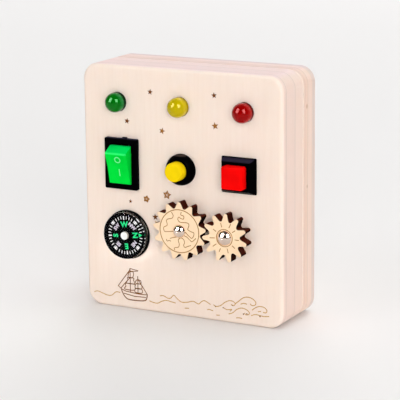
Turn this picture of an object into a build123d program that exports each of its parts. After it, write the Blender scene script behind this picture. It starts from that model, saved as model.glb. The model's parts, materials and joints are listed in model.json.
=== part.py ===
from build123d import *
from math import acos, atan, atan2, cos, degrees, hypot, pi, radians, sin, tan
import os

# Wooden busy board, in millimetres. +Z is up, +X is to the right seen from the front, and the
# front faces -Y. The origin is the centre of the wooden body's bottom face.

# ---- wooden body: a glued and screwed stack of layers ----
board_width = 90.0
board_height = 101.5
corner_radius = 6.5
sheet_thickness = 3.0
layer_thickness = 8.0
wall_thickness = 7.0
cavity_corner_radius = 8.0
front_edge_radius = 1.6
back_edge_radius = 0.4
seam_edge_radius = 1.2

board_depth = 2 * sheet_thickness + 3 * layer_thickness
face_y = -board_depth / 2
panel_back_y = face_y + sheet_thickness
middle_front_y = panel_back_y + layer_thickness
seam_y = middle_front_y + layer_thickness
cover_y = seam_y + layer_thickness
back_y = cover_y + sheet_thickness
fit_gap = 0.05

# ---- screws that hold the rear half on ----
screw_inset = 6.5
screw_radius = 1.5
screw_head_radius = 2.8
screw_head_height = 1.3
screw_length = 16.0
screw_point_length = 2.5

# ---- LEDs and their resistors ----
led_centres = {"green": -28.8, "yellow": -0.3, "red": 28.4}
led_z = 86.45
led_radius = 4.0
led_flange_radius = 4.6
led_flange_thickness = 1.8
led_straight_height = 2.2
lead_half_spacing = 1.27
lead_width = 0.5
lead_end_y = 1.5
resistor_body_length = 6.3
resistor_body_radius = 1.15
resistor_lead_radius = 0.28
resistor_top_z = 88.0
resistor_bottom_z = 74.0
resistor_y = 0.5

# ---- rocker switch ----
rocker_x = -26.8
rocker_z = 61.3
rocker_bezel_width = 15.0
rocker_bezel_height = 21.0
rocker_bezel_thickness = 2.0
rocker_bezel_corner = 0.6
rocker_bezel_edge = 0.4
rocker_body_width = 12.8
rocker_body_height = 18.8
rocker_body_back_y = -4.0
rocker_floor_y = -6.0
rocker_well_width = 10.0
rocker_well_height = 16.8
rocker_width = 9.6
rocker_pivot_depth = 0.56
mark_relief = 0.16
mark_offset = 0.6
rocker_tilt = 15.4
rocker_pin_radius = 1.2
rocker_pin_reach = 5.9
lever_tilt = 8.0
lever_length = 12.0
lever_width = 4.0
lever_thickness = 0.5
plunger_reach = 7.0
plunger_radius = 1.2
blade_width = 4.8
blade_thickness = 0.8
blade_end_y = 4.5
contact_blade_rise = 5.2

# ---- push buttons ----
round_button_x = 0.25
square_button_x = 26.1
button_z = 61.2
bezel_height = 3.6
bezel_flange = 0.4
round_bezel_radius = 6.4
round_bezel_lip_radius = 5.1
square_bezel_width = 15.2
square_bezel_height = 14.6
square_bezel_inset = 1.5
square_bezel_corner = 0.5
round_cap_radius = 3.9
square_cap_size = 9.1
cap_corner_radius = 0.8
cap_edge_radius = 0.7
cap_front_y = face_y - 7.4
cap_back_y = face_y - 2.3
cap_gap = 0.15
pocket_floor_y = face_y - 0.35
barrel_radius = 5.3
barrel_back_y = -2.7
spring_chamber_radius = 3.6
web_front_y = -8.0
web_back_y = -7.0
contact_chamber_radius = 4.2
stem_radius = 1.6
stem_end_y = -6.2
contact_ring_radius = 3.3
contact_ring_y = -6.3
contact_ring_thickness = 0.4
base_front_y = -4.2
pin_width = 0.6
pin_height = 1.8
pin_spacing = 4.4
pin_front_y = -4.35
pin_end_y = 2.0
nut_width = 14.0
nut_thickness = 2.0

# ---- button compass ----
compass_x = -25.0
compass_z = 31.8
compass_radius = 10.2
compass_rim_thickness = 0.6
compass_body_radius = 9.0
compass_back_y = -11.5
compass_floor_y = -13.7
compass_cavity_radius = 8.4
window_radius = 9.7
window_wall = 0.9
dial_radius = 8.1
dial_front_y = face_y - 1.4
dial_thickness = 0.4
pivot_radius = 0.4
card_cap_radius = 1.6
card_cap_height = 1.95

# ---- gears ----
gear_back_y = face_y - 0.6
gear_thickness = 4.5
gear_front_y = gear_back_y - gear_thickness
large_gear_centre = (1.64, 37.04)
small_gear_centre = (21.86, 36.44)
large_gear_teeth = 13
small_gear_teeth = 11
large_gear_phase = 7.27
small_gear_phase = -11.3
post_radius = 2.0
post_running_gap = 0.08
large_gear_head_radius = 2.7
small_gear_head_radius = 3.05
post_head_edge = 0.2
post_head_height = 1.9
post_back_y = panel_back_y - 0.05
post_bore_radius = 1.3
washer_radius = 4.0
washer_thickness = 0.5
post_screw_head_radius = 3.4
post_screw_head_height = 1.4

# ---- battery holder, two 10.4 x 44.5 mm cells ----
holder_x = 26.0
holder_bottom_z = 11.0
holder_top_z = 36.4
holder_front_y = -0.6
holder_back_y = 11.0
holder_floor = 1.4
holder_wall = 1.4
cell_radius = 5.2
cell_length = 44.5
cell_nub_length = 0.8
cell_nub_radius = 1.9
cell_spacing = 11.5
contact_plate_thickness = 0.4

# ---- wires ----
wire_radius = 0.65

parts = {}


def facing(y, x=0.0, z=0.0):
    """Sketch plane at depth y, seen from the front: its x runs right and its y runs up."""
    return Plane(origin=(x, y, z), x_dir=(1, 0, 0), z_dir=(0, -1, 0))


def plate(sketch, back, front, x=0.0, z=0.0):
    """A sketch made solid between two depths."""
    return extrude(facing(back, x, z) * sketch, amount=back - front)


def disc(radius, back, front, x=0.0, z=0.0):
    return plate(Circle(radius), back, front, x, z)


def turned(outline, x, z):
    """A closed (radius, y) outline turned about the Y direction through x, z."""
    face = make_face(outline)
    return revolve(Plane(origin=(x, 0, z)) * face, axis=Axis((x, 0, z), (0, 1, 0)))


def closed(*points):
    return Polyline(*points, close=True)


def block(low, high):
    """A box between two corners."""
    size = [b - a for a, b in zip(low, high)]
    return Pos(*low) * Box(*size, align=(Align.MIN, Align.MIN, Align.MIN))


def crown(radius, edge_y, top_y):
    """Arc of a dome from its edge to its top, centred on the axis it is turned about."""
    height = edge_y - top_y
    sphere_radius = (radius**2 + height**2) / (2 * height)
    angle = atan2(radius, sphere_radius - height) / 2
    middle = (sphere_radius * sin(angle), top_y + sphere_radius * (1 - cos(angle)))
    return ThreePointArc((radius, edge_y), middle, (0, top_y))


def edges_at(solid, y):
    return solid.edges().filter_by_position(Axis.Y, y - 0.001, y + 0.001)


def layer(front, back, rounded_y=None, radius=0.0):
    """One rounded-corner layer of the wooden body, with one of its outer edges rounded."""
    outline = RectangleRounded(board_width, board_height, corner_radius)
    solid = plate(outline, back, front, 0, board_height / 2)
    if rounded_y is not None:
        solid = fillet(edges_at(solid, rounded_y), radius)
    return solid


def screw_centres():
    x = board_width / 2 - screw_inset
    return [(side * x, z) for side in (-1, 1) for z in (screw_inset, board_height - screw_inset)]


def hollow(solid, front, back):
    cavity = RectangleRounded(
        board_width - 2 * wall_thickness, board_height - 2 * wall_thickness, cavity_corner_radius
    )
    return solid - plate(cavity, back + 1, front - 1, 0, board_height / 2)


def front_panel():
    solid = layer(face_y, panel_back_y, face_y, front_edge_radius)
    front, back = face_y - 1, panel_back_y + 1
    for x in led_centres.values():
        solid -= disc(led_radius + fit_gap, back, front, x, led_z)
    cutout = Rectangle(rocker_body_width + 0.4, rocker_body_height + 0.4)
    solid -= plate(cutout, back, front, rocker_x, rocker_z)
    for x in (round_button_x, square_button_x):
        solid -= disc(barrel_radius + 0.1, back, front, x, button_z)
    solid -= disc(compass_body_radius + 0.1, back, front, compass_x, compass_z)
    for centre in (large_gear_centre, small_gear_centre):
        solid -= disc(post_radius + 0.1, back, front, *centre)
    return solid


def wooden_body():
    parts["front_panel"] = front_panel()
    parts["front_frame"] = hollow(
        layer(panel_back_y, middle_front_y), panel_back_y, middle_front_y
    )
    middle = hollow(
        layer(middle_front_y, seam_y, seam_y, seam_edge_radius), middle_front_y, seam_y
    )
    rear = hollow(layer(seam_y, cover_y, seam_y, seam_edge_radius), seam_y, cover_y)
    cover = layer(cover_y, back_y, back_y, back_edge_radius)
    hole_radius = screw_radius + fit_gap
    tip_y = back_y - screw_length
    for x, z in screw_centres():
        middle -= disc(hole_radius, seam_y + 1, tip_y - 0.5, x, z)
        rear -= disc(hole_radius, cover_y + 1, seam_y - 1, x, z)
        cover -= disc(hole_radius, back_y + 1, cover_y - 1, x, z)
        cover -= countersink(x, z, fit_gap)
    parts["middle_frame"] = middle
    parts["rear_frame"] = rear
    parts["back_panel"] = cover


def countersink(x, z, gap):
    top = back_y + gap
    outline = closed(
        (0, top),
        (screw_head_radius + 2 * gap, top),
        (screw_radius + gap, top - screw_head_height - 2 * gap),
        (0, top - screw_head_height - 2 * gap),
    )
    return turned(outline, x, z)


def cover_screw(x, z):
    tip_y = back_y - screw_length
    outline = closed(
        (0, back_y),
        (screw_head_radius, back_y),
        (screw_radius, back_y - screw_head_height),
        (screw_radius, tip_y + screw_point_length),
        (0, tip_y),
    )
    solid = turned(outline, x, z)
    for width, height in ((3.2, 0.7), (0.7, 3.2)):
        solid -= plate(Rectangle(width, height), back_y + 0.1, back_y - 1.1, x, z)
    return solid


def led(colour, x):
    """Round-top lens pushed in from behind until its flange meets the panel, with two leads."""
    dome_y = face_y - led_straight_height
    base_y = panel_back_y + led_flange_thickness
    outline = [
        Polyline(
            (0, base_y),
            (led_flange_radius, base_y),
            (led_flange_radius, panel_back_y),
            (led_radius, panel_back_y),
            (led_radius, dome_y),
        ),
        crown(led_radius, dome_y, dome_y - led_radius),
        Line((0, dome_y - led_radius), (0, base_y)),
    ]
    parts[f"{colour}_led_lens"] = turned(outline, x, led_z)
    half_lead = lead_width / 2
    leads = [
        block(
            (x + side * lead_half_spacing - half_lead, base_y, led_z - half_lead),
            (x + side * lead_half_spacing + half_lead, lead_end_y, led_z + half_lead),
        )
        for side in (-1, 1)
    ]
    parts[f"{colour}_led_leads"] = Compound(children=leads)


def resistor_x(led_x):
    return led_x - lead_half_spacing - lead_width / 2 - resistor_lead_radius - 0.02


def resistor(colour, led_x):
    """Axial resistor standing beside the LED's anode lead."""
    x = resistor_x(led_x)
    middle = (resistor_top_z + resistor_bottom_z) / 2
    lead = Pos(x, resistor_y, middle) * Cylinder(
        resistor_lead_radius, resistor_top_z - resistor_bottom_z
    )
    body = Cylinder(resistor_body_radius, resistor_body_length)
    body = fillet(body.edges().filter_by(GeomType.CIRCLE), 0.5)
    parts[f"{colour}_resistor"] = lead + Pos(x, resistor_y, middle) * body


def rocker_frame(rise):
    """Plane across the rocker's outward direction, rise above its pivot, at rest."""
    tilt = radians(rocker_tilt)
    outward = Vector(0, -cos(tilt), -sin(tilt))
    pivot = Vector(rocker_x, face_y + rocker_pivot_depth, rocker_z)
    return Plane(origin=pivot + outward * rise, x_dir=(1, 0, 0), z_dir=outward)


def rocker_switch():
    pivot_y = face_y + rocker_pivot_depth
    bezel_y = face_y - rocker_bezel_thickness

    # housing: bezel, body, snap wedges and a locating tab on the bezel's top edge
    bezel = plate(
        RectangleRounded(rocker_bezel_width, rocker_bezel_height, rocker_bezel_corner),
        face_y, bezel_y, rocker_x, rocker_z,
    )
    bezel = fillet(edges_at(bezel, bezel_y), rocker_bezel_edge)
    body = plate(
        Rectangle(rocker_body_width, rocker_body_height),
        rocker_body_back_y, face_y, rocker_x, rocker_z,
    )
    housing = bezel + body
    top_z = rocker_z + rocker_bezel_height / 2
    tab_x = rocker_x + 1.3
    housing += block((tab_x - 1.0, face_y - 0.9, top_z - 0.5), (tab_x + 1.0, face_y, top_z + 0.4))
    for side in (-1, 1):
        z = side * rocker_body_height / 2
        wedge = make_face(
            closed(
                (panel_back_y + 0.1, z - side),
                (panel_back_y + 0.1, z + 0.7 * side),
                (panel_back_y + 3.5, z),
                (panel_back_y + 3.5, z - side),
            )
        )
        housing += extrude(Plane.YZ.offset(rocker_x) * (Pos(0, rocker_z) * wedge), 2.5, both=True)
    housing -= plate(
        RectangleRounded(rocker_well_width, rocker_well_height, 0.6),
        rocker_floor_y, bezel_y - 1, rocker_x, rocker_z,
    )
    across = Plane(origin=(rocker_x, pivot_y, rocker_z), z_dir=(1, 0, 0))
    housing -= extrude(across * Circle(rocker_pin_radius + fit_gap), rocker_pin_reach + 0.1, both=True)

    # rocker: two facets that meet in a shallow V, on two pins, with a post for the plunger
    side_outline = closed(
        (-6.8, 5.3), (0, 4.9), (6.65, 5.3), (7.85, 0.6), (7.5, -0.9), (-7.7, -0.9), (-8.0, 0.6)
    )
    tilt = radians(rocker_tilt)
    side_plane = Plane(
        origin=(rocker_x, pivot_y, rocker_z), x_dir=(0, -sin(tilt), cos(tilt)), z_dir=(1, 0, 0)
    )
    side_face = make_face(side_outline)
    rocker = extrude(side_plane * side_face, rocker_width / 2, both=True)
    ridges = rocker.edges().filter_by(Axis.X).sort_by(Axis.Y)[:2]
    rocker = fillet(ridges, 0.5)
    rocker += extrude(side_plane * Circle(rocker_pin_radius), rocker_pin_reach, both=True)
    rocker += extrude(rocker_frame(-4.0) * Circle(1.8), 3.5)
    rocker -= extrude(rocker_frame(-4.1) * Circle(plunger_radius + fit_gap), 5.2)
    ring = Pos(mark_offset, 3.9) * (Circle(1.45) - Circle(0.95))
    marks = ring + Pos(mark_offset, -1.8) * Rectangle(0.5, 3.0)
    raised = extrude(side_plane * Pos(0, mark_relief) * side_face, rocker_width / 2, both=True)
    parts["rocker"] = rocker + (raised & extrude(rocker_frame(4.0) * marks, 2.0))

    # sprung plunger in the rocker's post, pushing on the see-saw contact lever
    ball = rocker_frame(-plunger_reach + plunger_radius)
    plunger = extrude(ball * Circle(plunger_radius), 2.6) + ball.location * Sphere(plunger_radius)
    parts["rocker_plunger"] = plunger
    spring_start = rocker_frame(-3.1)
    parts["rocker_spring"] = spring_start.location * coil(0.85, 0.15, 4.0, 6)

    lever_y = pivot_y + plunger_reach + 0.15
    half = lever_length / 2
    rise = half * tan(radians(lever_tilt))
    lever_outline = closed(
        (-half, -rise), (0, 0), (half, -rise),
        (half, lever_thickness - rise), (0, lever_thickness), (-half, lever_thickness - rise),
    )
    # sketch x runs up the board and sketch y runs back, so the arms rise towards the front
    lean = radians(lever_tilt)
    lever_plane = Plane(
        origin=(rocker_x, lever_y, rocker_z), x_dir=(0, sin(lean), cos(lean)), z_dir=(-1, 0, 0)
    )
    parts["rocker_contact_lever"] = extrude(
        lever_plane * make_face(lever_outline), lever_width / 2, both=True
    )

    blade_front_y = lever_y + lever_thickness + 0.1
    blades = []
    for rise in (0.0, contact_blade_rise):
        z = rocker_z + rise
        low = (rocker_x - blade_width / 2, blade_front_y, z - blade_thickness / 2)
        high = (rocker_x + blade_width / 2, blade_end_y, z + blade_thickness / 2)
        blades.append(block(low, high))
        gap = Vector(fit_gap, 1.0, fit_gap)
        housing -= block(Vector(*low) - gap, Vector(*high) + gap)
    parts["rocker_housing"] = housing
    parts["rocker_terminals"] = Compound(children=blades)


def coil(radius, wire, height, turns):
    """Helical spring standing on its own plane, along that plane's +Z."""
    path = Helix((height - 2 * wire) / turns, height - 2 * wire, radius, center=(0, 0, wire))
    section = Plane(origin=path @ 0, z_dir=path % 0) * Circle(wire)
    return sweep(section, path=path, is_frenet=True)


def round_bezel(x):
    lip_y = face_y - bezel_height
    outline = [
        Polyline(
            (round_bezel_lip_radius, lip_y), (0, lip_y), (0, face_y),
            (round_bezel_radius, face_y), (round_bezel_radius, face_y - bezel_flange),
        ),
        ThreePointArc(
            (round_bezel_radius, face_y - bezel_flange),
            (round_bezel_radius - 0.32, face_y - 2.1),
            (round_bezel_lip_radius, lip_y),
        ),
    ]
    return turned(outline, x, button_z)


def square_bezel(x):
    flange_y = face_y - bezel_flange
    outline = RectangleRounded(square_bezel_width, square_bezel_height, square_bezel_corner)
    flange = plate(outline, face_y, flange_y, x, button_z)
    height = bezel_height - bezel_flange
    slope = degrees(atan(square_bezel_inset / height))
    bevel = extrude(facing(flange_y, x, button_z) * outline, amount=height, taper=slope)
    return flange + bevel


def push_button(name, x, bezel, cap_outline, pocket_outline):
    """Momentary switch: bezel and barrel, cap and stem, spring, ring contact, base, pins, nut."""
    housing = bezel + disc(barrel_radius, barrel_back_y, face_y, x, button_z)
    housing -= plate(pocket_outline, pocket_floor_y, face_y - bezel_height - 1, x, button_z)
    housing -= disc(spring_chamber_radius, web_front_y, pocket_floor_y, x, button_z)
    housing -= disc(stem_radius + 0.1, web_back_y, web_front_y, x, button_z)
    housing -= disc(contact_chamber_radius, barrel_back_y, web_back_y, x, button_z)
    parts[f"{name}_housing"] = housing

    head = plate(cap_outline, cap_back_y, cap_front_y, x, button_z)
    head = fillet(edges_at(head, cap_front_y), cap_edge_radius)
    parts[f"{name}_cap"] = head + disc(stem_radius, stem_end_y, cap_back_y, x, button_z)

    spring_length = web_front_y - cap_back_y - 2 * fit_gap
    standing = Plane(origin=(x, cap_back_y + fit_gap, button_z), z_dir=(0, 1, 0))
    parts[f"{name}_spring"] = standing.location * coil(2.6, 0.25, spring_length, 6)

    ring = Circle(contact_ring_radius) - Circle(stem_radius + fit_gap)
    parts[f"{name}_contact"] = plate(
        ring, contact_ring_y, contact_ring_y - contact_ring_thickness, x, button_z
    )

    base = disc(contact_chamber_radius - fit_gap, barrel_back_y, base_front_y, x, button_z)
    pins = []
    for side in (-1, 1):
        pin_x = x + side * pin_spacing / 2
        low = (pin_x - pin_width / 2, pin_front_y, button_z - pin_height / 2)
        high = (pin_x + pin_width / 2, pin_end_y, button_z + pin_height / 2)
        pins.append(block(low, high))
        gap = Vector(fit_gap, 0, fit_gap)
        base -= block(Vector(*low) - gap, Vector(*high) + gap)
    parts[f"{name}_base"] = base
    parts[f"{name}_terminals"] = Compound(children=pins)

    nut = RegularPolygon(nut_width / 2, 6, major_radius=False) - Circle(barrel_radius + fit_gap)
    parts[f"{name}_nut"] = plate(nut, panel_back_y + nut_thickness, panel_back_y, x, button_z)


def compass():
    x, z = compass_x, compass_z
    rim_y = face_y - compass_rim_thickness
    case = disc(compass_radius, face_y, rim_y, x, z)
    case += disc(compass_body_radius, compass_back_y, face_y, x, z)
    case -= disc(compass_cavity_radius, compass_floor_y, rim_y, x, z)
    parts["compass_case"] = case

    # clear window: straight side, rounded shoulder and a low dome, open towards the case
    inside = window_radius - window_wall
    crown_y = face_y - 4.2
    outline = [
        Line((window_radius, rim_y), (window_radius, face_y - 3.1)),
        ThreePointArc((window_radius, face_y - 3.1), (9.5, face_y - 3.55), (8.9, face_y - 3.75)),
        crown(8.9, face_y - 3.75, crown_y),
        Line((0, crown_y), (0, face_y - 3.5)),
        crown(8.1, face_y - 3.1, face_y - 3.5),
        Polyline(
            (8.1, face_y - 3.1), (inside, face_y - 2.8), (inside, rim_y), (window_radius, rim_y)
        ),
    ]
    parts["compass_window"] = turned(outline, x, z)

    dial_back_y = dial_front_y + dial_thickness
    hub_radius = 0.85
    dial = Circle(dial_radius) - Circle(hub_radius + 0.02)
    parts["compass_dial"] = plate(dial, dial_back_y, dial_front_y, x, z)
    hub_back_y = dial_back_y + 1.1
    bore_end_y = dial_front_y - 0.1
    cap_top_y = dial_front_y - card_cap_height
    cap_edge_y = cap_top_y + 0.4
    cap_outline = [
        Polyline(
            (0, bore_end_y), (pivot_radius + 0.1, bore_end_y), (pivot_radius + 0.1, hub_back_y),
            (hub_radius, hub_back_y), (hub_radius, dial_front_y), (card_cap_radius, dial_front_y),
            (card_cap_radius, cap_edge_y),
        ),
        crown(card_cap_radius, cap_edge_y, cap_top_y),
        Line((0, cap_top_y), (0, bore_end_y)),
    ]
    parts["compass_cap"] = turned(cap_outline, x, z)
    magnet = Rectangle(9.0, 2.6) - Circle(hub_radius + 0.02)
    parts["compass_magnet"] = plate(magnet, dial_back_y + 1.1, dial_back_y, x, z)
    pivot_outline = closed(
        (0, compass_floor_y), (1.2, compass_floor_y), (1.2, compass_floor_y - 0.5),
        (pivot_radius, compass_floor_y - 0.5), (pivot_radius, dial_back_y), (0, dial_front_y),
    )
    parts["compass_pivot"] = turned(pivot_outline, x, z)


def polar(radius, angle):
    return Vector(radius * cos(angle), radius * sin(angle))


def gear_outline(teeth, tip_radius, root_radius, tip_round, root_round, phase):
    """Rounded, straight-flanked teeth. The flanks are common tangents of tip and root arcs."""
    half_pitch = pi / teeth
    tip_centre = tip_radius - tip_round
    root_centre = root_radius + root_round
    between = polar(root_centre, half_pitch) - Vector(tip_centre, 0)
    span = hypot(between.X, between.Y)
    flank = atan2(between.Y, between.X) - acos((tip_round + root_round) / span)
    lines = []
    for tooth in range(teeth):
        angle = radians(phase) + 2 * half_pitch * tooth
        root_angle = angle + half_pitch
        next_angle = angle + 2 * half_pitch
        tip = polar(tip_centre, angle)
        root = polar(root_centre, root_angle)
        next_tip = polar(tip_centre, next_angle)
        tip_start = tip + polar(tip_round, angle - flank)
        tip_end = tip + polar(tip_round, angle + flank)
        root_start = root - polar(root_round, angle + flank)
        root_end = root - polar(root_round, next_angle - flank)
        next_start = next_tip + polar(tip_round, next_angle - flank)
        lines.append(ThreePointArc(tip_start, polar(tip_radius, angle), tip_end))
        lines.append(Line(tip_end, root_start))
        lines.append(ThreePointArc(root_start, polar(root_radius, root_angle), root_end))
        lines.append(Line(root_end, next_start))
    return make_face(lines)


def gears():
    large = gear_outline(large_gear_teeth, 11.95, 9.35, 0.8, 0.85, large_gear_phase)
    small = gear_outline(small_gear_teeth, 9.9, 6.8, 0.8, 0.9, small_gear_phase)
    posts, washers, screws = [], [], []
    for name, outline, centre, head_radius in (
        ("large_gear", large, large_gear_centre, large_gear_head_radius),
        ("small_gear", small, small_gear_centre, small_gear_head_radius),
    ):
        bored = outline - Circle(post_radius + post_running_gap)
        parts[name] = plate(bored, gear_back_y, gear_front_y, *centre)
        posts.append(gear_post(*centre, head_radius))
        washer = Circle(washer_radius) - Circle(post_radius + 0.1)
        washers.append(plate(washer, face_y, face_y - washer_thickness, *centre))
        screws.append(gear_post_screw(*centre))
    parts["gear_posts"] = Compound(children=posts)
    parts["gear_washers"] = Compound(children=washers)
    parts["gear_post_screws"] = Compound(children=screws)


def gear_post(x, z, head_radius):
    """Barrel with a dome head: the gear turns between the head and its washer."""
    head_y = gear_front_y - 0.2
    crown_y = head_y - post_head_height
    outline = [
        Polyline(
            (0, crown_y), (0, post_back_y), (post_radius, post_back_y), (post_radius, head_y),
            (head_radius, head_y), (head_radius, head_y - post_head_edge),
        ),
        crown(head_radius, head_y - post_head_edge, crown_y),
    ]
    return turned(outline, x, z) - disc(post_bore_radius, post_back_y, -17.5, x, z)


def gear_post_screw(x, z):
    head_back_y = panel_back_y + post_screw_head_height
    outline = closed(
        (0, head_back_y), (2.7, head_back_y), (post_screw_head_radius, head_back_y - 0.6),
        (post_screw_head_radius, panel_back_y), (post_bore_radius - fit_gap, panel_back_y),
        (post_bore_radius - fit_gap, -16.8), (0, -16.8),
    )
    slot = plate(Rectangle(5.0, 0.8), head_back_y + 0.1, head_back_y - 0.8, x, z)
    return turned(outline, x, z) - slot


def battery_cell(z, direction):
    """Cell lying along X. Its nub points in the given direction."""
    y = holder_back_y - holder_floor - 0.1 - cell_radius
    can_length = cell_length - cell_nub_length
    can = Cylinder(cell_radius, can_length)
    can = fillet(can.edges().filter_by(GeomType.CIRCLE), 0.5)
    nub = Pos(0, 0, can_length / 2 + cell_nub_length / 2) * Cylinder(cell_nub_radius, cell_nub_length)
    lying = Plane(origin=(0, y, z), z_dir=(direction, 0, 0))
    return lying.location * (Pos(0, 0, -cell_nub_length / 2) * (can + nub))


def battery_pack():
    middle_z = (holder_bottom_z + holder_top_z) / 2
    cell_y = holder_back_y - holder_floor - 0.1 - cell_radius
    low = (-holder_x, holder_front_y, holder_bottom_z)
    high = (holder_x, holder_back_y, holder_top_z)
    inner_x = holder_x - holder_wall
    pocket_low = (-inner_x, holder_front_y - 1, holder_bottom_z + holder_wall)
    pocket_high = (inner_x, holder_back_y - holder_floor, holder_top_z - holder_wall)
    tray = block(low, high)
    tray = fillet(tray.edges().filter_by(Axis.Y), 1.0)
    parts["battery_holder"] = tray - block(pocket_low, pocket_high)
    parts["holder_tape"] = block(
        (-22.0, holder_back_y, middle_z - 9.0), (22.0, cover_y, middle_z + 9.0)
    )

    upper_z, lower_z = middle_z + cell_spacing / 2, middle_z - cell_spacing / 2
    parts["battery_cell_upper"] = battery_cell(upper_z, 1)
    parts["battery_cell_lower"] = battery_cell(lower_z, -1)

    # a plate at each positive end, a coil on a plate at each negative end; the left plates are one
    plate_inner_x = inner_x - contact_plate_thickness
    reach = 4.0
    plates = [
        block((plate_inner_x, cell_y - reach, z - reach), (inner_x, cell_y + reach, z + reach))
        for z in (upper_z, lower_z)
    ]
    plates.append(
        block(
            (-inner_x, cell_y - reach, lower_z - reach), (-plate_inner_x, cell_y + reach, upper_z + reach)
        )
    )
    parts["battery_contacts"] = Compound(children=plates)
    coil_height = plate_inner_x - cell_length / 2 - 2 * fit_gap
    springs = []
    for z, direction in ((upper_z, 1), (lower_z, -1)):
        start = (-direction * (plate_inner_x - fit_gap), cell_y, z)
        springs.append(Plane(origin=start, z_dir=(direction, 0, 0)).location
                       * coil(2.6, 0.3, coil_height, 2))
    parts["battery_springs"] = Compound(children=springs)


def wire(name, points):
    """Round wire of straight runs joined by tangent arcs. Prints its smallest arc."""
    points = [Vector(*point) for point in points]
    runs = [end - start for start, end in zip(points, points[1:])]
    radii = []
    for before, after in zip(runs, runs[1:]):
        half_turn = radians(before.get_angle(after)) / 2
        radii.append(0.45 * min(before.length, after.length) / tan(half_turn))
    path = FilletPolyline(*points, radius=radii)
    start = Plane(origin=points[0], z_dir=runs[0])
    tube = sweep(start * Circle(wire_radius), path=path)
    print(f"{name}: {path.length:.1f} mm long, arcs from {min(radii):.1f} mm")
    return tube


def wiring():
    """Cells to switches, each switch to its resistor, and the LEDs' return leads."""
    end = 0.02
    holder_z = holder_top_z + end
    pin_low = button_z - pin_height / 2 - end
    pin_high = button_z + pin_height / 2 + end
    half = pin_spacing / 2
    square_in, square_out = square_button_x + half, square_button_x - half
    round_in, round_out = round_button_x + half, round_button_x - half
    blade_low = rocker_z - blade_thickness / 2 - end
    blade_high = rocker_z + contact_blade_rise + blade_thickness / 2 + end
    lead_top = led_z + lead_width / 2 + end
    lead_end = lead_end_y + end
    cathode = {colour: x + lead_half_spacing for colour, x in led_centres.items()}
    anode = {colour: resistor_x(x) for colour, x in led_centres.items()}
    below = resistor_bottom_z - end

    parts["battery_wire_red"] = wire(
        "battery_wire_red",
        [(22.5, 5, holder_z), (22.5, 5, 44), (square_in, 1, 52), (square_in, 1, pin_low)],
    )
    parts["battery_wire_black"] = wire(
        "battery_wire_black",
        [
            (18.5, 5, holder_z), (18.5, 5, 44), (29, 8, 52), (34, 8.5, 63), (34.2, 8.5, 76),
            (cathode["red"] + 2, 8.5, 84), (cathode["red"], 7, led_z), (cathode["red"], lead_end, led_z),
        ],
    )
    parts["supply_links"] = Compound(children=[
        wire("supply_link_right", [
            (square_in, 1, pin_high), (square_in, 1, 67), (24, 6, 70), (12, 7.5, 69),
            (4, 4.5, 68), (round_in, 1, 66.5), (round_in, 1, pin_high),
        ]),
        wire("supply_link_left", [
            (round_in, 1, pin_low), (round_in, 1, 54), (-7, 4, 49.5), (-17, 4, 50),
            (-25.4, 2.5, 53), (-25.4, 2.5, blade_low),
        ]),
    ])
    parts["green_led_wire"] = wire(
        "green_led_wire",
        [
            (anode["green"], resistor_y, below), (anode["green"], resistor_y, 71.2),
            (-26.8, 2.5, 70.2), (-26.8, 2.5, blade_high),
        ],
    )
    parts["yellow_led_wire"] = wire(
        "yellow_led_wire",
        [
            (anode["yellow"], resistor_y, below), (anode["yellow"], resistor_y, 71.2),
            (-3.4, 2.2, 68.5), (round_out, 1, 65.4), (round_out, 1, pin_high),
        ],
    )
    parts["red_led_wire"] = wire(
        "red_led_wire",
        [
            (anode["red"], resistor_y, below), (anode["red"], resistor_y, 71),
            (square_out, 1, 66), (square_out, 1, pin_high),
        ],
    )
    parts["return_links"] = Compound(children=[
        wire("return_link_right", [
            (cathode["red"], 0.3, lead_top), (cathode["red"], 0.3, 91), (22, 3, 92.8),
            (8, 3.2, 92.4), (cathode["yellow"], 0.3, 91), (cathode["yellow"], 0.3, lead_top),
        ]),
        wire("return_link_left", [
            (cathode["yellow"], lead_end, led_z), (cathode["yellow"], 6, led_z), (-6, 8.5, 84),
            (-20, 8.3, 84.5), (cathode["green"], 6, led_z), (cathode["green"], lead_end, led_z),
        ]),
    ])


def build():
    wooden_body()
    parts["cover_screws"] = Compound(children=[cover_screw(x, z) for x, z in screw_centres()])
    for colour, x in led_centres.items():
        led(colour, x)
        resistor(colour, x)
    rocker_switch()
    cap_gap_size = 2 * cap_gap
    push_button(
        "round_button", round_button_x, round_bezel(round_button_x),
        Circle(round_cap_radius), Circle(round_cap_radius + cap_gap),
    )
    pocket_size = square_cap_size + cap_gap_size
    push_button(
        "square_button", square_button_x, square_bezel(square_button_x),
        RectangleRounded(square_cap_size, square_cap_size, cap_corner_radius),
        RectangleRounded(pocket_size, pocket_size, cap_corner_radius + cap_gap),
    )
    compass()
    gears()
    battery_pack()
    wiring()


def write_parts():
    os.makedirs("parts", exist_ok=True)
    for name, solid in parts.items():
        export_step(solid, os.path.join("parts", f"{name}.step"))


build()
write_parts()
print(len(parts), "nodes")
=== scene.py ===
import json
from math import cos, pi, radians, sin, sqrt

import bpy
from bpy.props import FloatProperty, FloatVectorProperty, IntProperty, PointerProperty
from mathutils import Matrix, Vector


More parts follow.
